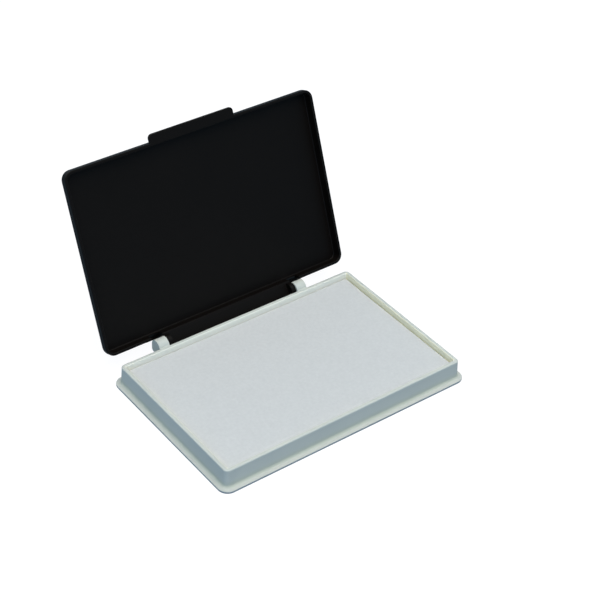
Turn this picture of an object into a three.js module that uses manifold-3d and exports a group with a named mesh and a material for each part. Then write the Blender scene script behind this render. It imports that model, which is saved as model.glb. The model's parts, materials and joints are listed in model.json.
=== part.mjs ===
// Ink pad in a moulded tray with a hinged lid, lid open.  Millimetres, +Z up.
// X runs along the hinge, and Y runs from the thumb tab at the front to the hinge at the back.
// The origin is on the tray's underside, at the middle of the tray.
import * as THREE from 'three';
import { mergeVertices } from 'three/addons/utils/BufferGeometryUtils.js';
import Module from 'manifold-3d';

const wasm = await Module();
wasm.setup();

// ---- driving dimensions ----
const CLEARANCE = 0.3; // between pieces that move past or rest on each other
const CORNER_STEPS = 5; // facets on each rounded corner
const EDGE_STEPS = 5; // facets on each rounded edge
const ROUND_SEGMENTS = 24; // facets on a full circle

const tray = {
  rimX: 57, // half length over the rim
  rimY: 36.7, // half depth over the rim
  rimHeight: 9.4,
  rimCorner: 2,
  rimEdge: 0.5, // rounding of the rim's two edges
  wall: 1.72, // wall thickness at the rim
  draft: 0.41, // how far the foot of the wall stands out from the rim
  innerDraft: 0.1, // how far the inside narrows down to the floor
  innerCorner: 0.8,
  footFillet: 0.8,
  floor: 1.2,
  flange: 1.1, // flange thickness
  flangeX: 59.35,
  flangeY: 39.2,
  flangeCorner: 4.4,
  flangeEdge: 0.25,
};

const lid = {
  halfX: 59,
  halfY: 38.52,
  rimZ: 8, // height of the skirt's lower edge when closed
  depth: 5.35,
  wall: 1.2,
  corner: 4,
  edge: 3.1, // rounding between skirt and roof, outside
  innerEdge: 0.9, // the same inside
  openAngle: THREE.MathUtils.degToRad(111.5),
};

const tab = { halfX: 20.1, reach: 3.5, corner: 1.8, root: 0.7 };

const hinge = {
  y: 41,
  z: 7.9,
  lugs: [
    { from: -38.2, to: -33.5, inward: 1 },
    { from: 30.6, to: 35.3, inward: -1 },
  ],
  pinRadius: 0.8,
  pinLength: 3.2,
  earThickness: 2,
  hoodWall: 1.1,
  coverX: 39.3, // half length of the strip of roof that covers the lugs
};

const lugFront = { y: 39.66, z: 8.36, radius: 2.95 }; // the lug's rounded top and front
const lugFoot = { y: 41.4, z: 6.1, radius: 1.2 }; // its rounded lower back corner
const ear = { forward: 0.9, up: 0.55, radius: 2.85 }; // from the hinge axis, seen with the lid open
const neckBottom = 5.8; // underside of the neck that joins a lug to the tray's wall
// the plate that closes the hood's front
const apron = {
  setIn: 0.3, // from the skirt's inner face
  length: 6.3,
  fall: THREE.MathUtils.degToRad(14), // below the plane of the skirt's rim, lid closed
};

const pad = {
  halfX: 54.95,
  halfY: 34.65,
  top: 7.6,
  edge: 0.4, // rounding of the cloth over the felt's edge
  cloth: 0.35,
  board: 1,
  hem: 8, // width of the cloth turned under the board
  layerGap: 0.05,
};

// ---- small tools ----

// A closed solid skinned over rounded rectangles, listed from the lowest to the highest.
function stack(levels) {
  const quarterTurn = Math.PI / 2;
  const corners = [[1, 1], [-1, 1], [-1, -1], [1, -1]];
  const perRing = corners.length * (CORNER_STEPS + 1);
  const positions = [];
  for (const { x, y, r, z } of levels) {
    corners.forEach(([sideX, sideY], corner) => {
      for (let step = 0; step <= CORNER_STEPS; step++) {
        const angle = (corner + step / CORNER_STEPS) * quarterTurn;
        positions.push(sideX * (x - r) + r * Math.cos(angle), sideY * (y - r) + r * Math.sin(angle), z);
      }
    });
  }
  const bottomCentre = levels.length * perRing;
  const topCentre = bottomCentre + 1;
  positions.push(0, 0, levels[0].z, 0, 0, levels[levels.length - 1].z);
  const faces = [];
  for (let i = 0; i < perRing; i++) {
    const next = (i + 1) % perRing;
    for (let level = 0; level < levels.length - 1; level++) {
      const low = level * perRing;
      const high = low + perRing;
      faces.push(low + i, low + next, high + next, low + i, high + next, high + i);
    }
    const last = (levels.length - 1) * perRing;
    faces.push(bottomCentre, next, i, topCentre, last + i, last + next);
  }
  const geometry = new THREE.BufferGeometry();
  geometry.setAttribute('position', new THREE.Float32BufferAttribute(positions, 3));
  geometry.setIndex(faces);
  return geometry;
}

// Levels of a quarter-round edge that closes inward as it rises to height z.
function roundedTop({ x, y, r, z }, radius) {
  const levels = [];
  for (let step = 0; step <= EDGE_STEPS; step++) {
    const angle = (step / EDGE_STEPS) * (Math.PI / 2);
    const inset = radius * (1 - Math.cos(angle));
    levels.push({ x: x - inset, y: y - inset, r: r - inset, z: z - radius + radius * Math.sin(angle) });
  }
  return levels;
}

// A profile drawn in the YZ plane, extruded along X.
function alongX(profile, from, to) {
  const geometry = new THREE.ExtrudeGeometry(profile, {
    depth: to - from,
    bevelEnabled: false,
    curveSegments: ROUND_SEGMENTS,
  });
  const toYZ = new THREE.Matrix4().makeBasis(
    new THREE.Vector3(0, 1, 0),
    new THREE.Vector3(0, 0, 1),
    new THREE.Vector3(1, 0, 0),
  );
  return geometry.applyMatrix4(toYZ).translate(from, 0, 0);
}

function box(x0, x1, y0, y1, z0, z1) {
  const geometry = new THREE.BoxGeometry(x1 - x0, y1 - y0, z1 - z0);
  return geometry.translate((x0 + x1) / 2, (y0 + y1) / 2, (z0 + z1) / 2);
}

function rodAlongX(radius, y, z, from, to) {
  const geometry = new THREE.CylinderGeometry(radius, radius, to - from, ROUND_SEGMENTS);
  return geometry.rotateZ(Math.PI / 2).translate((from + to) / 2, y, z);
}

function toSolid(geometry) {
  const bare = geometry.clone();
  bare.deleteAttribute('normal');
  bare.deleteAttribute('uv');
  const merged = mergeVertices(bare);
  return new wasm.Manifold(new wasm.Mesh({
    numProp: 3,
    vertProperties: new Float32Array(merged.attributes.position.array),
    triVerts: new Uint32Array(merged.index.array),
  }));
}

// Joins every geometry in added, then cuts away every geometry in cut.
function combine(added, cut = []) {
  const joined = added.map(toSolid).reduce((sum, next) => sum.add(next));
  const result = cut.map(toSolid).reduce((rest, next) => rest.subtract(next), joined);
  const mesh = result.getMesh();
  const geometry = new THREE.BufferGeometry();
  geometry.setAttribute('position', new THREE.Float32BufferAttribute(mesh.vertProperties, 3));
  geometry.setIndex([...mesh.triVerts]);
  geometry.computeVertexNormals();
  return geometry;
}

function piece(name, geometry, color, roughness) {
  const mesh = new THREE.Mesh(geometry, new THREE.MeshStandardMaterial({ color, roughness, metalness: 0 }));
  mesh.name = name;
  return mesh;
}

// ---- tray ----

// Half sizes of the wall's outer face at height z, which lean in from foot to rim.
function wallAt(z) {
  const lean = tray.draft * (tray.rimHeight - z) / (tray.rimHeight - tray.flange);
  return { x: tray.rimX + lean, y: tray.rimY + lean, r: tray.rimCorner + lean, z };
}

function trayBody() {
  const flange = { x: tray.flangeX, y: tray.flangeY, r: tray.flangeCorner };
  const under = tray.flangeEdge;
  const levels = [
    { x: flange.x - under, y: flange.y - under, r: flange.r - under, z: 0 },
    { ...flange, z: under },
    { ...flange, z: tray.flange - under },
    { x: flange.x - under, y: flange.y - under, r: flange.r - under, z: tray.flange },
  ];
  const filletTop = wallAt(tray.flange + tray.footFillet);
  for (let step = 0; step <= EDGE_STEPS; step++) {
    const angle = (step / EDGE_STEPS) * (Math.PI / 2);
    const out = tray.footFillet * (1 - Math.sin(angle));
    levels.push({
      x: filletTop.x + out,
      y: filletTop.y + out,
      r: filletTop.r + out,
      z: tray.flange + tray.footFillet * (1 - Math.cos(angle)),
    });
  }
  levels.push(...roundedTop(wallAt(tray.rimHeight), tray.rimEdge));
  return stack(levels);
}

function trayCavity() {
  const x = tray.rimX - tray.wall;
  const y = tray.rimY - tray.wall;
  const r = tray.innerCorner;
  const down = tray.innerDraft;
  const above = 1;
  return stack([
    { x: x - down, y: y - down, r, z: tray.floor },
    { x, y, r, z: tray.rimHeight - tray.rimEdge },
    { x: x + tray.rimEdge, y: y + tray.rimEdge, r: r + tray.rimEdge, z: tray.rimHeight },
    { x: x + tray.rimEdge, y: y + tray.rimEdge, r: r + tray.rimEdge, z: tray.rimHeight + above },
  ]);
}

// Outline stretched round the lug's front circle and its foot circle, grown by extra.
function lugProfile(extra = 0) {
  const foot = lugFoot.radius + extra;
  const front = lugFront.radius + extra;
  const dy = lugFoot.y - lugFront.y;
  const dz = lugFoot.z - lugFront.z;
  const direction = Math.atan2(dz, dy);
  const spread = Math.acos((front - foot) / Math.hypot(dy, dz));
  const outline = new THREE.Shape();
  outline.absarc(lugFoot.y, lugFoot.z, foot, direction - spread, direction + spread);
  outline.absarc(lugFront.y, lugFront.z, front, direction + spread, direction - spread + 2 * Math.PI);
  return outline;
}

function lugAndNeck({ from, to }) {
  const insideWall = tray.rimY - tray.wall / 2;
  return [
    alongX(lugProfile(), from, to),
    box(from, to, insideWall, lugFront.y, neckBottom, tray.rimHeight),
  ];
}

function lugSocket({ from, to, inward }) {
  const depth = hinge.pinLength + CLEARANCE / 2;
  const mouth = inward > 0 ? to : from;
  const ends = [mouth + inward, mouth - inward * depth].sort((a, b) => a - b);
  return rodAlongX(hinge.pinRadius + CLEARANCE, hinge.y, hinge.z, ...ends);
}

function baseTray() {
  const added = [trayBody(), ...hinge.lugs.flatMap(lugAndNeck)];
  const cut = [trayCavity(), ...hinge.lugs.map(lugSocket)];
  return combine(added, cut);
}

// ---- lid, drawn closed on the tray ----

const roofTop = lid.rimZ + lid.depth;
const roofUnder = roofTop - lid.wall;
const knuckle = {
  from: hinge.lugs[0].to + CLEARANCE,
  to: hinge.lugs[1].from - CLEARANCE,
};
const hoodOuter = roofTop - hinge.z;
const hoodInner = hoodOuter - hinge.hoodWall;

function lidShell() {
  const outline = { x: lid.halfX, y: lid.halfY, r: lid.corner };
  return stack([{ ...outline, z: lid.rimZ }, ...roundedTop({ ...outline, z: roofTop }, lid.edge)]);
}

function lidCavity() {
  const inside = { x: lid.halfX - lid.wall, y: lid.halfY - lid.wall, r: lid.corner - lid.wall };
  const below = 1;
  const roof = roundedTop({ ...inside, z: roofUnder }, lid.innerEdge);
  return stack([{ ...inside, z: lid.rimZ - below }, ...roof]);
}

function thumbTab() {
  const back = -lid.halfY + tab.root;
  const front = -lid.halfY - tab.reach;
  const { halfX, corner } = tab;
  const outline = new THREE.Shape();
  outline.moveTo(halfX, back);
  outline.lineTo(-halfX, back);
  outline.absarc(-halfX + corner, front + corner, corner, Math.PI, 1.5 * Math.PI);
  outline.absarc(halfX - corner, front + corner, corner, 1.5 * Math.PI, 2 * Math.PI);
  const options = { depth: lid.wall, bevelEnabled: false, curveSegments: EDGE_STEPS };
  return new THREE.ExtrudeGeometry(outline, options).translate(0, 0, lid.rimZ);
}

// The roof runs on over the lugs, far enough to cover their tops.
function hingeCover() {
  const reach = hinge.y - hinge.pinRadius;
  return box(-hinge.coverX, hinge.coverX, lid.halfY - lid.edge, reach, roofUnder, roofTop);
}

// Relief in the skirt that a lug and its neck stand in when the lid is closed.
function lugRelief({ from, to }) {
  const x0 = from - CLEARANCE;
  const x1 = to + CLEARANCE;
  const insideSkirt = tray.rimY - tray.wall;
  const below = 1;
  return [
    alongX(lugProfile(CLEARANCE), x0, x1),
    box(x0, x1, insideSkirt, hinge.y, lid.rimZ - below, tray.rimHeight + CLEARANCE),
  ];
}

// Where the hood's free edge stops: against the tray's wall when the lid is fully open.
function hoodEnd() {
  const tip = wallAt(tray.rimHeight / 2).y + CLEARANCE;
  const openTip = Math.acos((tip - hinge.y) / hoodOuter);
  return lid.openAngle - openTip;
}

// The gutter-shaped hood between the lugs, joined to the roof above and free at its lower edge.
function hood() {
  const end = hoodEnd();
  const top = Math.PI / 2;
  const outline = new THREE.Shape();
  outline.moveTo(lid.halfY - lid.edge, hinge.z + hoodInner);
  outline.absarc(hinge.y, hinge.z, hoodInner, top, end, true);
  outline.absarc(hinge.y, hinge.z, hoodOuter, end, top, false);
  outline.lineTo(lid.halfY - lid.edge, hinge.z + hoodOuter);
  return alongX(outline, knuckle.from, knuckle.to);
}

// The plate that runs on from the skirt's rim, under the hood.
// It hides the hood's hollow when the lid is open.
function apronPlate() {
  const cos = Math.cos(apron.fall);
  const sin = Math.sin(apron.fall);
  const start = { y: lid.halfY - lid.wall + apron.setIn, z: lid.rimZ };
  const end = { y: start.y + apron.length * cos, z: start.z - apron.length * sin };
  const outline = new THREE.Shape();
  outline.moveTo(start.y, start.z);
  outline.lineTo(end.y, end.z);
  outline.lineTo(end.y + hinge.hoodWall * sin, end.z + hinge.hoodWall * cos);
  outline.lineTo(start.y + hinge.hoodWall * sin, start.z + hinge.hoodWall * cos);
  return alongX(outline, knuckle.from, knuckle.to);
}

// The ear's disc reaches forward of the axis when the lid is open, so it turns down as the lid closes.
function earDisc(from, to) {
  const cos = Math.cos(lid.openAngle);
  const sin = Math.sin(lid.openAngle);
  const y = hinge.y - ear.forward * cos - ear.up * sin;
  const z = hinge.z - ear.forward * sin + ear.up * cos;
  return rodAlongX(ear.radius, y, z, from, to);
}

// The plate at one end of the hood that carries a hinge pin.
function earPlate(from, to) {
  const middleOfWall = (hoodInner + hoodOuter) / 2;
  const web = new THREE.Shape();
  web.moveTo(lid.halfY - lid.wall / 2, hinge.z);
  web.lineTo(hinge.y, hinge.z);
  web.absarc(hinge.y, hinge.z, middleOfWall, hoodEnd(), Math.PI / 2, false);
  web.lineTo(lid.halfY - lid.wall / 2, hinge.z + middleOfWall);
  return [alongX(web, from, to), earDisc(from, to)];
}

function earsAndPins() {
  const { from, to } = knuckle;
  const overlap = hinge.earThickness / 2;
  return [
    ...earPlate(from, from + hinge.earThickness),
    ...earPlate(to - hinge.earThickness, to),
    rodAlongX(hinge.pinRadius, hinge.y, hinge.z, from - hinge.pinLength, from + overlap),
    rodAlongX(hinge.pinRadius, hinge.y, hinge.z, to - overlap, to + hinge.pinLength),
  ];
}

function lidGeometry() {
  const added = [lidShell(), thumbTab(), hingeCover()];
  const cut = [lidCavity(), ...hinge.lugs.flatMap(lugRelief)];
  const shell = combine(added, cut);
  return combine([shell, hood(), apronPlate(), ...earsAndPins()]);
}

// ---- pad, built up from the tray's floor ----

const hemUnder = tray.floor + pad.layerGap;
const boardUnder = hemUnder + pad.cloth + pad.layerGap;
const feltUnder = boardUnder + pad.board + pad.layerGap;
const feltTop = pad.top - pad.cloth - pad.layerGap;
const coreX = pad.halfX - pad.cloth - pad.layerGap;
const coreY = pad.halfY - pad.cloth - pad.layerGap;
const coreCorner = tray.innerCorner;

function feltCore() {
  const outline = { x: coreX, y: coreY, r: coreCorner };
  const top = roundedTop({ ...outline, z: feltTop }, pad.edge - pad.cloth);
  return stack([{ ...outline, z: feltUnder }, ...top]);
}

function backingBoard() {
  const outline = { x: coreX, y: coreY, r: coreCorner };
  return stack([{ ...outline, z: boardUnder }, { ...outline, z: boardUnder + pad.board }]);
}

// The cloth wraps the top and sides of the felt and turns under the board.
function padCloth() {
  const outer = { x: pad.halfX, y: pad.halfY, r: coreCorner + pad.cloth };
  const inner = { x: pad.halfX - pad.cloth, y: pad.halfY - pad.cloth, r: coreCorner };
  const opening = { x: pad.halfX - pad.hem, y: pad.halfY - pad.hem, r: coreCorner };
  const below = 1;
  return combine(
    [stack([{ ...outer, z: hemUnder }, ...roundedTop({ ...outer, z: pad.top }, pad.edge)])],
    [
      stack([
        { ...inner, z: hemUnder + pad.cloth },
        ...roundedTop({ ...inner, z: pad.top - pad.cloth }, pad.edge - pad.cloth),
      ]),
      stack([{ ...opening, z: hemUnder - below }, { ...opening, z: boardUnder }]),
    ],
  );
}

// ---- the assembly ----

const paleGreen = 0xc6cfc6;
const nearBlack = 0x161719;
const paleGrey = 0xcdd1d4;
const feltWhite = 0xd9d9d4;
const boardGrey = 0xa9a59a;

const lidGroup = new THREE.Group();
lidGroup.position.set(0, hinge.y, hinge.z);
lidGroup.rotation.x = -lid.openAngle;
const lidMesh = piece('lid', lidGeometry(), nearBlack, 0.45);
lidMesh.position.set(0, -hinge.y, -hinge.z);
lidGroup.add(lidMesh);

const inkPad = new THREE.Group();
inkPad.add(
  piece('base_tray', baseTray(), paleGreen, 0.35),
  piece('backing_board', backingBoard(), boardGrey, 0.9),
  piece('felt_core', feltCore(), feltWhite, 1),
  piece('pad_cloth', padCloth(), paleGrey, 0.95),
  lidGroup,
);

export default inkPad;
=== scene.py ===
import json
import math

import bmesh
import bpy
from mathutils import Matrix, Vector


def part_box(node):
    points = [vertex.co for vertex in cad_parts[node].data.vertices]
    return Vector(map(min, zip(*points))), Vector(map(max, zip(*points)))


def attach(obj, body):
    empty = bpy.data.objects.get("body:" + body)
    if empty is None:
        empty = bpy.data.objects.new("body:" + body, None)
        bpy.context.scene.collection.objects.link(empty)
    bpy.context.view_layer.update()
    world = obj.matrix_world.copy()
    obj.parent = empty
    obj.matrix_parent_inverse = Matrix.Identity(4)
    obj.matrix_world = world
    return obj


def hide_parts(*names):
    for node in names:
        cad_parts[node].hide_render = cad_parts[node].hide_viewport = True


MM = 0.001

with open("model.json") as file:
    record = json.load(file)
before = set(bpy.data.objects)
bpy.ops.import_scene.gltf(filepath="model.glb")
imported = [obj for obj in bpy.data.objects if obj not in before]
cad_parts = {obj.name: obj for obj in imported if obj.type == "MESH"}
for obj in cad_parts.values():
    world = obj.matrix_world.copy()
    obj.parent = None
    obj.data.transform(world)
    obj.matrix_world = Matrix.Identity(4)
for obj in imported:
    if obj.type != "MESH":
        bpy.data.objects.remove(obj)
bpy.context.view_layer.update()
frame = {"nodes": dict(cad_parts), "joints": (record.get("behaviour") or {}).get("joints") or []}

# ---------------------------------------------------------------- sizes, from the frame

tray_low, tray_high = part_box("base_tray")
pad_low, pad_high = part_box("pad_cloth")
hinge = frame["joints"][0]
HINGE_Y = hinge["pos_m"][1]
HINGE_Z = hinge["pos_m"][2]
OPEN_ANGLE = math.radians(hinge["range_deg"][1])

# the tray
FLANGE_X = tray_high.x
FLANGE_Y = -tray_low.y
FLANGE_THICK = 1.1 * MM
FLANGE_CORNER = 4.4 * MM
FLANGE_EDGE = 0.3 * MM
LEDGE_X = 2.35 * MM
LEDGE_Y = 2.5 * MM
RIM_X = FLANGE_X - LEDGE_X
RIM_Y = FLANGE_Y - LEDGE_Y
RIM_Z = 9.4 * MM
RIM_CORNER = 2.0 * MM
RIM_OUTER_EDGE = 0.6 * MM
RIM_INNER_EDGE = 0.4 * MM
WALL = 1.72 * MM
DRAFT = 0.41 * MM
FOOT_FILLET = 1.4 * MM
FLOOR_Z = 1.2 * MM
INNER_DRAFT = 0.1 * MM
INNER_CORNER = 0.8 * MM
LUG_EDGE = 0.35 * MM
NECK_EDGE = 0.2 * MM

# the lid, closed on the tray
LID_X = 59.0 * MM
LID_Y = 38.52 * MM
LID_RIM_Z = 8.0 * MM
LID_DEPTH = 5.35 * MM
LID_WALL = 1.2 * MM
LID_CORNER = 4.0 * MM
LID_EDGE = 3.1 * MM
LID_INNER_EDGE = 0.4 * MM
LID_RIM_EDGE = 0.3 * MM
LID_TOP_Z = LID_RIM_Z + LID_DEPTH
ROOF_UNDER_Z = LID_TOP_Z - LID_WALL

TAB_X = 20.1 * MM
TAB_REACH = 3.5 * MM
TAB_CORNER = 1.8 * MM
TAB_ROOT = 0.7 * MM  # how far the tab runs into the skirt
TAB_EDGE = 0.4 * MM

# the hinge
CLEARANCE = 0.3 * MM
LUGS = ((-38.2 * MM, -33.5 * MM, 1), (30.6 * MM, 35.3 * MM, -1))  # from, to, way to the middle
LUG_FRONT_Y = 39.66 * MM  # a lug is stretched round a large front circle and a small foot circle
LUG_FRONT_Z = 8.36 * MM
LUG_FRONT_RADIUS = 2.95 * MM
LUG_FOOT_Y = 41.4 * MM
LUG_FOOT_Z = 6.1 * MM
LUG_FOOT_RADIUS = 1.2 * MM
NECK_UNDER_Z = 5.8 * MM
PIN_RADIUS = 0.8 * MM
PIN_LENGTH = 3.2 * MM
PIN_EDGE = 0.15 * MM
LUG_ROOF_X = 39.3 * MM  # the strip of roof that covers the lugs
LUG_ROOF_EDGE = 0.2 * MM
EAR_FORWARD = 0.9 * MM  # the ear's disc, from the pin, as the lid stands open
EAR_UP = 0.55 * MM
EAR_RADIUS = 2.85 * MM
EAR_THICK = 2.0 * MM
EAR_WEB_EDGE = 0.2 * MM
EAR_DISC_EDGE = 0.45 * MM
HOOD_OUTER = LID_TOP_Z - HINGE_Z
HOOD_WALL = 1.1 * MM
HOOD_INNER = HOOD_OUTER - HOOD_WALL
HOOD_EDGE = 0.15 * MM
APRON_SET_IN = 0.3 * MM
APRON_LENGTH = 6.3 * MM
APRON_FALL = math.radians(14)
KNUCKLE = (LUGS[0][1] + CLEARANCE, LUGS[1][0] - CLEARANCE)  # the lid's part of the hinge, between the lugs

# the cloth cover
CLOTH_EDGE = 0.3 * MM
CLOTH_CORNER = 1.0 * MM
CLOTH_START_INSIDE = 0.05 * MM  # the block starts this far inside the CAD's cloth, because it swells
CLOTH_GRID = 0.88 * MM
CLOTH_SWELL = 0.1 * MM
CLOTH_PRESSURE = 4.0
CLOTH_FRAMES = 20
THREAD = 0.36 * MM

# facets
CORNER_STEPS = 14
EDGE_STEPS = 8
BEVEL_STEPS = 4
TAB_BEVEL_STEPS = 5
ARC_STEP = math.radians(6)
QUARTER_TURN = math.pi / 2
FULL_TURN = 2 * math.pi

# the studio
STUDIO_RADIUS = 3.0
STUDIO_HEIGHT = 4.0
BACKDROP_SIDES = 48
UNDER_PAD = 0.05 * MM  # how far the floor lies below the tray
LIGHTS_AWAY = 1.3
LIGHTS_AIM = (0, 0.02, 0.02)


# ---------------------------------------------------------------- mesh tools


def new_object(name, mesh_builder):
    """A new mesh object from a bmesh, with its faces turned outward."""
    bmesh.ops.recalc_face_normals(mesh_builder, faces=mesh_builder.faces)
    mesh = bpy.data.meshes.new(name)
    mesh_builder.to_mesh(mesh)
    mesh_builder.free()
    obj = bpy.data.objects.new(name, mesh)
    bpy.context.scene.collection.objects.link(obj)
    return obj


def rounded_rectangle(half_x, half_y, radius, z, steps):
    """Points round a rectangle with rounded corners, anticlockwise from its right side."""
    points = []
    for corner, (side_x, side_y) in enumerate(((1, 1), (-1, 1), (-1, -1), (1, -1))):
        for step in range(steps + 1):
            angle = (corner + step / steps) * QUARTER_TURN
            x = side_x * (half_x - radius) + radius * math.cos(angle)
            y = side_y * (half_y - radius) + radius * math.sin(angle)
            points.append(Vector((x, y, z)))
    return points


def skinned(name, levels):
    """A closed solid skinned over rounded rectangles and capped at both ends.
    Each level is (half_x, half_y, corner radius, z)."""
    work = bmesh.new()
    rings = [[work.verts.new(p) for p in rounded_rectangle(*level, CORNER_STEPS)] for level in levels]
    for low, high in zip(rings, rings[1:]):
        for i in range(len(low)):
            following = (i + 1) % len(low)
            work.faces.new((low[i], low[following], high[following], high[i]))
    work.faces.new(rings[0])
    work.faces.new(rings[-1])
    return new_object(name, work)


def quarter_round(level, radius, turn_in, rising, steps=EDGE_STEPS):
    """Levels that round the edge at a level. turn_in +1 closes inward as it goes, -1 opens outward.
    rising is True where the round runs up a wall into the level.
    It is False where the round leaves the level down a wall."""
    half_x, half_y, corner, z = level
    levels = []
    for step in range(steps + 1):
        angle = step / steps * QUARTER_TURN
        if not rising:
            angle = QUARTER_TURN - angle
        inset = turn_in * radius * (1 - math.cos(angle))
        drop = radius * (1 - math.sin(angle))
        levels.append((half_x - inset, half_y - inset, corner - inset, z - drop))
    return levels


def bevel(work, edges, width, steps):
    bmesh.ops.bevel(
        work, geom=edges, offset=width, segments=steps, profile=0.5, affect="EDGES", clamp_overlap=True
    )


def prism(name, outline, x_from, x_to, edge=0.0):
    """An outline in the YZ plane run along X, with its two end edges rounded."""
    work = bmesh.new()
    ends = [[work.verts.new((x, y, z)) for y, z in outline] for x in (x_from, x_to)]
    count = len(outline)
    for i in range(count):
        following = (i + 1) % count
        work.faces.new((ends[0][i], ends[0][following], ends[1][following], ends[1][i]))
    caps = [work.faces.new(end) for end in ends]
    if edge:
        rim = [e for cap in caps for e in cap.edges]
        bevel(work, rim, edge, BEVEL_STEPS)
    return new_object(name, work)


def arc(centre_y, centre_z, radius, start, end):
    """Points along an arc in the YZ plane, angles from +Y towards +Z."""
    count = max(2, round(abs(end - start) / ARC_STEP))
    angles = [start + (end - start) * i / count for i in range(count + 1)]
    return [(centre_y + radius * math.cos(a), centre_z + radius * math.sin(a)) for a in angles]


def circle(centre_y, centre_z, radius):
    """The outline of a full circle, with its first point not repeated."""
    return arc(centre_y, centre_z, radius, 0, FULL_TURN)[:-1]


def block_outline(y_from, y_to, z_from, z_to):
    return [(y_from, z_from), (y_to, z_from), (y_to, z_to), (y_from, z_to)]


def joined(target, tools, operation):
    """target after every tool is united with it or cut from it. The tools are removed."""
    for tool in tools:
        modifier = target.modifiers.new("join", "BOOLEAN")
        modifier.operation = operation
        modifier.solver = "MANIFOLD"
        modifier.object = tool
        bake_modifiers(target)
        bpy.data.objects.remove(tool)
    return target


def bake_modifiers(obj):
    bpy.context.view_layer.update()
    graph = bpy.context.evaluated_depsgraph_get()
    mesh = bpy.data.meshes.new_from_object(obj.evaluated_get(graph))
    obj.modifiers.clear()
    obj.data = mesh


def smooth(obj, sharp_degrees=35):
    """Smooth shading that keeps flat faces flat and keeps edges over sharp_degrees crisp."""
    obj.data.shade_smooth()
    obj.data.set_sharp_from_angle(angle=math.radians(sharp_degrees))
    weighted = obj.modifiers.new("flat faces stay flat", "WEIGHTED_NORMAL")
    weighted.keep_sharp = True
    weighted.weight = 90
    bake_modifiers(obj)
    return obj


# ---------------------------------------------------------------- material tools


class Paint:
    """A material's node tree, with short calls for the nodes that the surfaces here are made of."""

    def __init__(self, name, **sockets):
        self.material = bpy.data.materials.new(name)
        self.material.use_nodes = True
        self.nodes = self.material.node_tree.nodes
        self.links = self.material.node_tree.links
        self.shader = self.nodes["Principled BSDF"]
        for socket, value in sockets.items():
            self.shader.inputs[socket.replace("_", " ")].default_value = value
        self.place = self.nodes.new("ShaderNodeTexCoord").outputs["Object"]

    def noise(self, per_mm, detail=3.0, roughness=0.5, stretch=(1, 1, 1)):
        """Noise with about per_mm features in a millimetre, from 0 to 1."""
        scaled = self.nodes.new("ShaderNodeMapping")
        scaled.inputs["Scale"].default_value = [s * per_mm / MM for s in stretch]
        self.links.new(self.place, scaled.inputs["Vector"])
        texture = self.nodes.new("ShaderNodeTexNoise")
        texture.inputs["Scale"].default_value = 1.0
        texture.inputs["Detail"].default_value = detail
        texture.inputs["Roughness"].default_value = roughness
        self.links.new(scaled.outputs["Vector"], texture.inputs["Vector"])
        return texture.outputs["Fac"]

    def ramp(self, value, stops):
        """A colour ramp over value. stops are (position, colour)."""
        node = self.nodes.new("ShaderNodeValToRGB")
        while len(node.color_ramp.elements) < len(stops):
            node.color_ramp.elements.new(0.5)
        for element, (position, colour) in zip(node.color_ramp.elements, stops):
            element.position = position
            element.color = (*colour, 1.0)
        self.links.new(value, node.inputs["Fac"])
        return node.outputs["Color"]

    def math(self, operation, first, second=None, third=None):
        node = self.nodes.new("ShaderNodeMath")
        node.operation = operation
        for socket, value in zip(node.inputs, (first, second, third)):
            if value is None:
                continue
            if isinstance(value, (int, float)):
                socket.default_value = value
            else:
                self.links.new(value, socket)
        return node.outputs["Value"]

    def multiplied(self, first, second):
        """The product of two colours."""
        node = self.nodes.new("ShaderNodeVectorMath")
        node.operation = "MULTIPLY"
        self.links.new(first, node.inputs[0])
        self.links.new(second, node.inputs[1])
        return node.outputs["Vector"]

    def mixed(self, first, second, share):
        """first where share is 0, second where it is 1."""
        node = self.nodes.new("ShaderNodeMix")
        node.data_type = "RGBA"
        self.links.new(share, node.inputs["Factor"])
        self.links.new(first, node.inputs["A"])
        self.links.new(second, node.inputs["B"])
        return node.outputs["Result"]

    def spread(self, value, low, high):
        """value from 0 to 1, mapped to low to high."""
        node = self.nodes.new("ShaderNodeMapRange")
        node.inputs["To Min"].default_value = low
        node.inputs["To Max"].default_value = high
        self.links.new(value, node.inputs["Value"])
        return node.outputs["Result"]

    def axis(self, letter):
        if not hasattr(self, "separated"):
            self.separated = self.nodes.new("ShaderNodeSeparateXYZ")
            self.links.new(self.place, self.separated.inputs["Vector"])
        return self.separated.outputs[letter]

    def bump(self, height, depth_mm, after=None):
        """A bump of that depth, added to an earlier one if there is one."""
        node = self.nodes.new("ShaderNodeBump")
        node.inputs["Strength"].default_value = 1.0
        node.inputs["Distance"].default_value = depth_mm * MM
        self.links.new(height, node.inputs["Height"])
        if after is not None:
            self.links.new(after, node.inputs["Normal"])
        return node.outputs["Normal"]

    def connect(self, output, socket):
        self.links.new(output, self.shader.inputs[socket])


def dress(obj, paint):
    obj.data.materials.clear()
    obj.data.materials.append(paint.material)


# ---------------------------------------------------------------- materials


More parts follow.
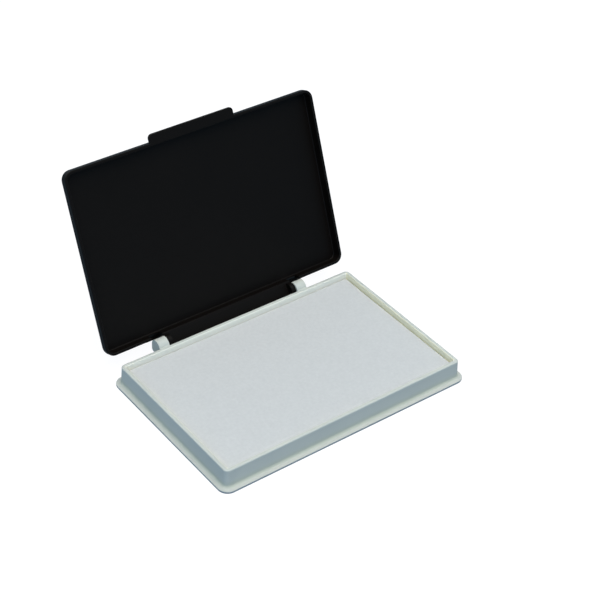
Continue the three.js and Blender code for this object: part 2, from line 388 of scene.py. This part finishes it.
def tray_plastic():
    """Pale, faintly green moulded plastic. The wall's inner faces are painted lighter and yellower than the
    rim, as painted light, and low on the outside the wall's foot and the flange are painted darker as
    painted shade, with a dark painted shadow along the flange's edge.
    outward is 0 on the wall's inner face, 0.5 in its middle and about 1 outside, at its foot."""
    paint = Paint("tray_plastic", Roughness=0.45, Specular_IOR_Level=0.25)
    past_x = paint.math("SUBTRACT", paint.math("ABSOLUTE", paint.axis("X")), RIM_X - WALL / 2)
    past_y = paint.math("SUBTRACT", paint.math("ABSOLUTE", paint.axis("Y")), RIM_Y - WALL / 2)
    per_wall = 1 / (WALL + 2 * DRAFT)
    outward = paint.math("MULTIPLY_ADD", paint.math("MAXIMUM", past_x, past_y), per_wall, 0.5)
    # painted light: the wall's inner faces, at the ends and along the long sides, are painted lighter and
    # yellower than the rim
    painted_light_inside_ends = (0.95, 0.93, 0.72)
    painted_light_inside_long = (0.93, 0.935, 0.87)
    rim = (0.605, 0.64, 0.61)
    # foot: the outer wall's foot, painted darker and more olive than the rim, as painted shade
    foot = (0.56, 0.60, 0.53)
    on_ends = paint.math("GREATER_THAN", past_x, past_y)
    tone_ends = paint.ramp(outward, [(0.15, painted_light_inside_ends), (0.32, rim)])
    tone_long = paint.ramp(outward, [(0.15, painted_light_inside_long), (0.32, rim)])
    tone = paint.mixed(tone_long, tone_ends, on_ends)
    # painted shade: low on the outside, the wall's foot, the flange's top and the flange's lower edge are
    # painted darker than the rim
    height = paint.math("DIVIDE", paint.axis("Z"), RIM_Z)
    painted_shade_ledge = (0.57, 0.60, 0.575)
    # edge: a dark bluish painted shadow along the flange's lower edge
    edge = (0.25, 0.31, 0.36)
    outer_painted_shade = paint.ramp(height, [(0.075, edge), (0.112, painted_shade_ledge), (0.17, foot), (0.25, foot), (0.45, rim)])
    outside_from = 0.7
    tone = paint.mixed(tone, outer_painted_shade, paint.math("GREATER_THAN", outward, outside_from))
    cloudy = paint.ramp(paint.noise(0.05, detail=2), [(0.3, (0.97, 0.97, 0.97)), (0.7, (1.0, 1.0, 1.0))])
    paint.connect(paint.multiplied(tone, cloudy), "Base Color")
    grain = paint.noise(4.0, detail=2)
    paint.connect(paint.spread(grain, 0.42, 0.54), "Roughness")
    waves = paint.bump(paint.noise(0.12, detail=1), 0.05)
    paint.connect(paint.bump(grain, 0.004, waves), "Normal")
    return paint


def lid_plastic():
    """Black moulded plastic with a fine matt grain and slow waves from the mould."""
    paint = Paint("lid_plastic", Roughness=0.5, Specular_IOR_Level=0.15)
    cloudy = paint.noise(0.04, detail=2)
    colour = paint.ramp(cloudy, [(0.3, (0.0026, 0.0018, 0.0014)), (0.7, (0.0031, 0.0022, 0.0018))])
    paint.connect(colour, "Base Color")
    grain = paint.noise(5.0, detail=3)
    paint.connect(paint.spread(grain, 0.42, 0.58), "Roughness")
    waves = paint.bump(paint.noise(0.06, detail=1), 0.1)
    paint.connect(paint.bump(grain, 0.006, waves), "Normal")
    return paint


def pad_fabric():
    """Closely woven pale cloth: crossing threads, slubs, a short nap and faint mottling from the felt."""
    paint = Paint(
        "pad_fabric", Roughness=0.95, Specular_IOR_Level=0.15, Sheen_Weight=0.15, Sheen_Roughness=0.6
    )
    wander = paint.spread(paint.noise(0.6, detail=2), -0.35, 0.35)
    across = paint.math("MULTIPLY_ADD", paint.axis("X"), math.pi / THREAD, wander)
    along = paint.math("MULTIPLY_ADD", paint.axis("Y"), math.pi / THREAD, wander)
    warp = paint.math("ABSOLUTE", paint.math("SINE", across))
    weft = paint.math("ABSOLUTE", paint.math("SINE", along))
    over_warp = paint.math("COSINE", along)
    over_weft = paint.math("COSINE", across)
    over = paint.math("MULTIPLY_ADD", paint.math("MULTIPLY", over_warp, over_weft), 0.5, 0.5)
    upper = paint.math("MULTIPLY", warp, over)
    lower = paint.math("MULTIPLY", weft, paint.math("SUBTRACT", 1.0, over))
    weave = paint.math("ADD", upper, lower)
    slubs = paint.noise(0.8, detail=4, stretch=(1, 0.25, 1))
    nap = paint.noise(0.75, detail=3, roughness=0.7)
    mottle = paint.noise(0.16, detail=4, roughness=0.6)
    tone = paint.math("MULTIPLY_ADD", weave, 0.1, paint.math("MULTIPLY", slubs, 0.14))
    tone = paint.math("MULTIPLY_ADD", mottle, 0.16, tone)
    tone = paint.math("MULTIPLY_ADD", nap, 0.56, tone)
    colour = paint.ramp(tone, [(0.28, (0.58, 0.60, 0.617)), (0.72, (0.669, 0.689, 0.706))])
    paint.connect(colour, "Base Color")
    felt = paint.bump(mottle, 0.025)
    paint.connect(paint.bump(weave, 0.03, felt), "Normal")
    return paint


def felt():
    """Thick pressed felt with fibres lying every way."""
    paint = Paint("felt", Roughness=1.0, Specular_IOR_Level=0.1, Sheen_Weight=0.3)
    fibres = paint.noise(1.6, detail=6, roughness=0.7)
    colour = paint.ramp(fibres, [(0.35, (0.62, 0.62, 0.59)), (0.65, (0.74, 0.74, 0.72))])
    paint.connect(colour, "Base Color")
    paint.connect(paint.bump(fibres, 0.15), "Normal")
    return paint


def backing_card():
    """Grey board with specks of recycled fibre."""
    paint = Paint("backing_card", Roughness=0.9, Specular_IOR_Level=0.2)
    specks = paint.noise(1.2, detail=5, roughness=0.75)
    colour = paint.ramp(specks, [(0.4, (0.33, 0.31, 0.27)), (0.6, (0.42, 0.40, 0.36))])
    paint.connect(colour, "Base Color")
    paint.connect(paint.bump(specks, 0.03), "Normal")
    return paint


def floor_paint():
    """A plain white sweep, lit enough to stay white."""
    paint = Paint("studio_floor", Roughness=0.9, Specular_IOR_Level=0.1)
    shade = paint.noise(0.002, detail=1)
    colour = paint.ramp(shade, [(0.3, (0.10, 0.102, 0.104)), (0.7, (0.11, 0.112, 0.114))])
    paint.connect(colour, "Base Color")
    paint.shader.inputs["Emission Color"].default_value = (0.99, 0.99, 1.0, 1.0)
    paint.shader.inputs["Emission Strength"].default_value = 0.96
    return paint


# ---------------------------------------------------------------- the tray


def wall_level(z):
    """The wall's outer outline at height z. It leans in from foot to rim."""
    lean = DRAFT * (RIM_Z - z) / (RIM_Z - FLANGE_THICK)
    return (RIM_X + lean, RIM_Y + lean, RIM_CORNER + lean, z)


def tray_levels():
    """One profile from the underside, round the flange, up the wall, over the rim and down to the floor."""
    flange = (FLANGE_X, FLANGE_Y, FLANGE_CORNER, FLANGE_THICK)
    mirrored = quarter_round(flange, FLANGE_EDGE, 1, False)
    under = [(x, y, r, FLANGE_THICK - z) for x, y, r, z in mirrored]
    levels = under + quarter_round(flange, FLANGE_EDGE, 1, True)
    foot = wall_level(FLANGE_THICK + FOOT_FILLET)
    for step in range(EDGE_STEPS + 1):
        angle = step / EDGE_STEPS * QUARTER_TURN
        out = FOOT_FILLET * (1 - math.sin(angle))
        rise = FLANGE_THICK + FOOT_FILLET * (1 - math.cos(angle))
        levels.append((foot[0] + out, foot[1] + out, foot[2] + out, rise))
    levels += quarter_round(wall_level(RIM_Z), RIM_OUTER_EDGE, 1, True)
    inside = (RIM_X - WALL, RIM_Y - WALL, INNER_CORNER, RIM_Z)
    levels += quarter_round(inside, RIM_INNER_EDGE, -1, False)
    bottom = (inside[0] - INNER_DRAFT, inside[1] - INNER_DRAFT, INNER_CORNER)
    levels.append((*bottom, FLOOR_Z))
    return levels


def lug_outline(extra=0.0):
    """The outline stretched round the lug's front circle and its foot circle, grown by extra."""
    foot = LUG_FOOT_RADIUS + extra
    front = LUG_FRONT_RADIUS + extra
    dy = LUG_FOOT_Y - LUG_FRONT_Y
    dz = LUG_FOOT_Z - LUG_FRONT_Z
    direction = math.atan2(dz, dy)
    spread = math.acos((front - foot) / math.hypot(dy, dz))
    around_foot = arc(LUG_FOOT_Y, LUG_FOOT_Z, foot, direction - spread, direction + spread)
    around_front = arc(LUG_FRONT_Y, LUG_FRONT_Z, front, direction + spread, direction - spread + FULL_TURN)
    return around_foot + around_front


def build_tray():
    tray = skinned("tray_moulding", tray_levels())
    neck_outline = block_outline(RIM_Y - WALL / 2, LUG_FRONT_Y, NECK_UNDER_Z, RIM_Z)
    socket_outline = circle(HINGE_Y, HINGE_Z, PIN_RADIUS + CLEARANCE)
    past_mouth = 1.0 * MM
    for x_from, x_to, inward in LUGS:
        lug = prism("lug", lug_outline(), x_from, x_to, edge=LUG_EDGE)
        neck = prism("neck", neck_outline, x_from, x_to, edge=NECK_EDGE)
        joined(tray, [lug, neck], "UNION")
        mouth = x_to if inward > 0 else x_from
        ends = sorted((mouth + inward * past_mouth, mouth - inward * (PIN_LENGTH + CLEARANCE / 2)))
        joined(tray, [prism("socket", socket_outline, *ends)], "DIFFERENCE")
    smooth(tray)
    dress(tray, tray_plastic())
    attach(tray, "tray")
    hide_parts("base_tray")


# ---------------------------------------------------------------- the lid


def lid_levels():
    """One profile from the roof's top, down the skirt, round its rim and up to the roof's underside."""
    outside = (LID_X, LID_Y, LID_CORNER)
    inside = (LID_X - LID_WALL, LID_Y - LID_WALL, LID_CORNER - LID_WALL)
    levels = quarter_round((*outside, LID_TOP_Z), LID_EDGE, 1, True)[::-1]
    flip = 2 * LID_RIM_Z
    outer_rim = quarter_round((*outside, LID_RIM_Z), LID_RIM_EDGE, 1, True)
    inner_rim = quarter_round((*inside, LID_RIM_Z), LID_RIM_EDGE, -1, False)
    levels += [(x, y, r, flip - z) for x, y, r, z in outer_rim + inner_rim]
    levels += quarter_round((*inside, ROOF_UNDER_Z), LID_INNER_EDGE, 1, True)
    return levels


def thumb_tab():
    """A flat plate in line with the lid's rim, with round corners and a round edge."""
    back = -LID_Y + TAB_ROOT
    front = -LID_Y - TAB_REACH
    work = bmesh.new()
    outline = [(TAB_X, back), (-TAB_X, back)]
    to_front = math.pi + QUARTER_TURN
    outline += arc(-TAB_X + TAB_CORNER, front + TAB_CORNER, TAB_CORNER, math.pi, to_front)
    outline += arc(TAB_X - TAB_CORNER, front + TAB_CORNER, TAB_CORNER, to_front, FULL_TURN)
    face = work.faces.new([work.verts.new((x, y, LID_RIM_Z)) for x, y in outline])
    raised = bmesh.ops.extrude_face_region(work, geom=[face])["geom"]
    corners = [v for v in raised if isinstance(v, bmesh.types.BMVert)]
    bmesh.ops.translate(work, verts=corners, vec=(0, 0, LID_WALL))
    bmesh.ops.recalc_face_normals(work, faces=work.faces)
    same_height = 1e-7
    level = [e for e in work.edges if abs(e.verts[0].co.z - e.verts[1].co.z) < same_height]
    bevel(work, level, TAB_EDGE, TAB_BEVEL_STEPS)
    return new_object("tab", work)


def hood_end():
    """The angle of the hood's free edge, which stops against the tray's wall when the lid is open."""
    tip = wall_level(RIM_Z / 2)[1] + CLEARANCE
    return OPEN_ANGLE - math.acos((tip - HINGE_Y) / HOOD_OUTER)


def hood():
    """The gutter-shaped plate between the lugs, joined to the roof and free at its lower edge."""
    end = hood_end()
    root_y = LID_Y - LID_EDGE
    outline = [(root_y, HINGE_Z + HOOD_INNER)]
    outline += arc(HINGE_Y, HINGE_Z, HOOD_INNER, QUARTER_TURN, end)
    outline += arc(HINGE_Y, HINGE_Z, HOOD_OUTER, end, QUARTER_TURN)
    outline += [(root_y, HINGE_Z + HOOD_OUTER)]
    return prism("hood", outline, *KNUCKLE, edge=HOOD_EDGE)


def apron():
    """The plate that runs on from the skirt's rim, under the hood.
    It hides the hood's hollow when the lid is open."""
    start_y = LID_Y - LID_WALL + APRON_SET_IN
    end_y = start_y + APRON_LENGTH * math.cos(APRON_FALL)
    end_z = LID_RIM_Z - APRON_LENGTH * math.sin(APRON_FALL)
    thick_y = HOOD_WALL * math.sin(APRON_FALL)
    thick_z = HOOD_WALL * math.cos(APRON_FALL)
    outline = [(start_y, LID_RIM_Z), (end_y, end_z)]
    outline += [(end_y + thick_y, end_z + thick_z), (start_y + thick_y, LID_RIM_Z + thick_z)]
    return prism("apron", outline, *KNUCKLE)


def ear(x_from, x_to):
    """The plate at one end of the hood that carries a hinge pin."""
    middle = (HOOD_INNER + HOOD_OUTER) / 2
    root_y = LID_Y - LID_WALL / 2
    web = [(root_y, HINGE_Z), (HINGE_Y, HINGE_Z)]
    web += arc(HINGE_Y, HINGE_Z, middle, hood_end(), QUARTER_TURN)
    web += [(root_y, HINGE_Z + middle)]
    cos = math.cos(OPEN_ANGLE)
    sin = math.sin(OPEN_ANGLE)
    disc_y = HINGE_Y - EAR_FORWARD * cos - EAR_UP * sin
    disc_z = HINGE_Z - EAR_FORWARD * sin + EAR_UP * cos
    return [
        prism("web", web, x_from, x_to, edge=EAR_WEB_EDGE),
        prism("disc", circle(disc_y, disc_z, EAR_RADIUS), x_from, x_to, edge=EAR_DISC_EDGE),
    ]


def pin(x_from, x_to):
    return prism("pin", circle(HINGE_Y, HINGE_Z, PIN_RADIUS), x_from, x_to, edge=PIN_EDGE)


def lug_reliefs():
    """The notches in the skirt that the lugs and their necks stand in when the lid is closed."""
    below = 1.0 * MM
    neck = block_outline(RIM_Y - WALL, HINGE_Y, LID_RIM_Z - below, RIM_Z + CLEARANCE)
    cutters = []
    for x_from, x_to, _ in LUGS:
        for outline in (lug_outline(CLEARANCE), neck):
            cutters.append(prism("relief", outline, x_from - CLEARANCE, x_to + CLEARANCE))
    return cutters


def build_lid():
    lid = skinned("lid_moulding", lid_levels())
    strip = block_outline(LID_Y - LID_EDGE, HINGE_Y - PIN_RADIUS, ROOF_UNDER_Z, LID_TOP_Z)
    lug_roof = prism("lug_roof", strip, -LUG_ROOF_X, LUG_ROOF_X, edge=LUG_ROOF_EDGE)
    joined(lid, [thumb_tab(), lug_roof], "UNION")
    joined(lid, lug_reliefs(), "DIFFERENCE")
    left, right = KNUCKLE
    overlap = EAR_THICK / 2
    ears = ear(left, left + EAR_THICK) + ear(right - EAR_THICK, right)
    pins = [pin(left - PIN_LENGTH, left + overlap), pin(right - overlap, right + PIN_LENGTH)]
    joined(lid, [hood(), apron(), *ears], "UNION")
    joined(lid, pins, "UNION")
    smooth(lid)
    to_axis = Matrix.Translation((0, -HINGE_Y, -HINGE_Z))
    lid.data.transform(to_axis.inverted() @ Matrix.Rotation(-OPEN_ANGLE, 4, "X") @ to_axis)
    dress(lid, lid_plastic())
    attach(lid, "lid")
    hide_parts("lid")


# ---------------------------------------------------------------- the pad


def build_pad_cover():
    """The cloth round the felt: a finely remeshed block, swelled a little by a cloth simulation."""
    top_z = pad_high.z - CLOTH_START_INSIDE
    low_z = pad_low.z + CLOTH_START_INSIDE
    half_x = pad_high.x - CLOTH_START_INSIDE
    half_y = pad_high.y - CLOTH_START_INSIDE
    levels = quarter_round((half_x, half_y, CLOTH_CORNER, top_z), CLOTH_EDGE, 1, True, steps=4)
    bottom = [(x, y, r, low_z + (top_z - z)) for x, y, r, z in reversed(levels)]
    cover = skinned("pad_cover", bottom + levels)
    remesh = cover.modifiers.new("even cloth", "REMESH")
    remesh.mode = "VOXEL"
    remesh.voxel_size = CLOTH_GRID
    bake_modifiers(cover)
    swell(cover, CLOTH_SWELL)
    finer = cover.modifiers.new("finer", "SUBSURF")
    finer.levels = 1
    finer.render_levels = 1
    bake_modifiers(cover)
    cover.data.shade_smooth()
    dress(cover, pad_fabric())
    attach(cover, "tray")
    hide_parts("pad_cloth")


def swell(obj, cap):
    """Cloth under a little pressure, with no gravity. No point moves further than cap."""
    rest = [v.co.copy() for v in obj.data.vertices]
    cloth = obj.modifiers.new("cloth", "CLOTH")
    settings = cloth.settings
    settings.use_pressure = True
    settings.uniform_pressure_force = CLOTH_PRESSURE
    settings.quality = 4
    settings.effector_weights.gravity = 0.0
    cloth.point_cache.frame_start = 1
    cloth.point_cache.frame_end = CLOTH_FRAMES
    scene = bpy.context.scene
    for number in range(1, CLOTH_FRAMES + 1):
        scene.frame_set(number)
    bake_modifiers(obj)
    scene.frame_set(1)
    for vertex, start in zip(obj.data.vertices, rest):
        move = vertex.co - start
        if move.length > cap:
            vertex.co = start + move * (cap / move.length)


# ---------------------------------------------------------------- the studio


def build_floor(paint):
    work = bmesh.new()
    bmesh.ops.create_grid(work, x_segments=6, y_segments=6, size=STUDIO_RADIUS)
    bmesh.ops.translate(work, verts=work.verts, vec=(0, 0, -UNDER_PAD))
    floor = new_object("studio_floor", work)
    dress(floor, paint)
    floor.visible_diffuse = False
    floor.visible_glossy = False


def build_backdrop(paint):
    """A round wall behind everything, which only the camera sees."""
    work = bmesh.new()
    low = []
    high = []
    for side in range(BACKDROP_SIDES):
        angle = FULL_TURN * side / BACKDROP_SIDES
        x = STUDIO_RADIUS * math.cos(angle)
        y = STUDIO_RADIUS * math.sin(angle)
        low.append(work.verts.new((x, y, -UNDER_PAD)))
        high.append(work.verts.new((x, y, STUDIO_HEIGHT)))
    for side in range(BACKDROP_SIDES):
        following = (side + 1) % BACKDROP_SIDES
        work.faces.new((low[side], low[following], high[following], high[side]))
    wall = new_object("studio_wall", work)
    dress(wall, paint)
    wall.visible_diffuse = False
    wall.visible_glossy = False
    wall.visible_transmission = False
    wall.visible_shadow = False


def add_softbox(name, azimuth, elevation, size, watts, colour=(1, 1, 1)):
    """A square soft light at that azimuth and elevation, aimed at the middle of the pad."""
    place = toward(azimuth, elevation, LIGHTS_AWAY)
    light = bpy.data.lights.new(name, "AREA")
    light.shape = "SQUARE"
    light.size = size
    light.energy = watts
    light.color = colour
    obj = bpy.data.objects.new(name, light)
    obj.location = place
    obj.rotation_mode = "QUATERNION"
    obj.rotation_quaternion = (Vector(LIGHTS_AIM) - place).to_track_quat("-Z", "Y")
    bpy.context.scene.collection.objects.link(obj)


def toward(azimuth, elevation, distance):
    """A place at that distance from the pad, azimuth from the front towards the right, in degrees."""
    side = math.radians(azimuth)
    rise = math.radians(elevation)
    level = math.cos(rise)
    return Vector((math.sin(side) * level, -math.cos(side) * level, math.sin(rise))) * distance


def build_lights():
    add_softbox("softbox_above", -20, 75, size=1.1, watts=15.8, colour=(1.0, 0.935, 0.83))
    add_softbox("softbox_left", -50, 15, size=0.9, watts=2.05, colour=(0.39, 0.68, 1.0))
    add_softbox("softbox_back", 180, 25, size=0.8, watts=1.6)
    add_softbox("softbox_right", 90, 12, size=0.8, watts=1.2)
    world = bpy.data.worlds.new("studio")
    world.use_nodes = True
    background = world.node_tree.nodes["Background"]
    background.inputs["Color"].default_value = (0.57, 0.79, 1.0, 1.0)
    background.inputs["Strength"].default_value = 0.38
    bpy.context.scene.world = world


def build_camera():
    """A long lens from the front left, well above the pad."""
    azimuth = math.radians(-38.66)
    elevation = math.radians(37.53)
    roll = math.radians(2.92)
    target = Vector((35.2, 40.55, 0.0)) * MM
    distance = 692.0 * MM
    level = math.cos(elevation)
    back = Vector((math.sin(azimuth) * level, -math.cos(azimuth) * level, math.sin(elevation)))
    right = Vector((math.cos(azimuth), math.sin(azimuth), 0.0))
    up = back.cross(right)
    rolled_right = right * math.cos(roll) + up * math.sin(roll)
    rolled_up = up * math.cos(roll) - right * math.sin(roll)
    data = bpy.data.cameras.new("camera")
    data.sensor_width = 36.0
    data.lens = 97.24
    data.clip_start = 0.01
    data.clip_end = 20.0
    camera = bpy.data.objects.new("camera", data)
    axes = Matrix((rolled_right, rolled_up, back)).transposed()
    camera.matrix_world = Matrix.Translation(target + back * distance) @ axes.to_4x4()
    bpy.context.scene.collection.objects.link(camera)
    bpy.context.scene.camera = camera


build_camera()
build_lights()
white_sweep = floor_paint()
build_floor(white_sweep)
build_backdrop(white_sweep)
build_tray()
build_lid()
build_pad_cover()
dress(frame["nodes"]["felt_core"], felt())
dress(frame["nodes"]["backing_board"], backing_card())
bpy.context.scene.view_settings.view_transform = "Standard"
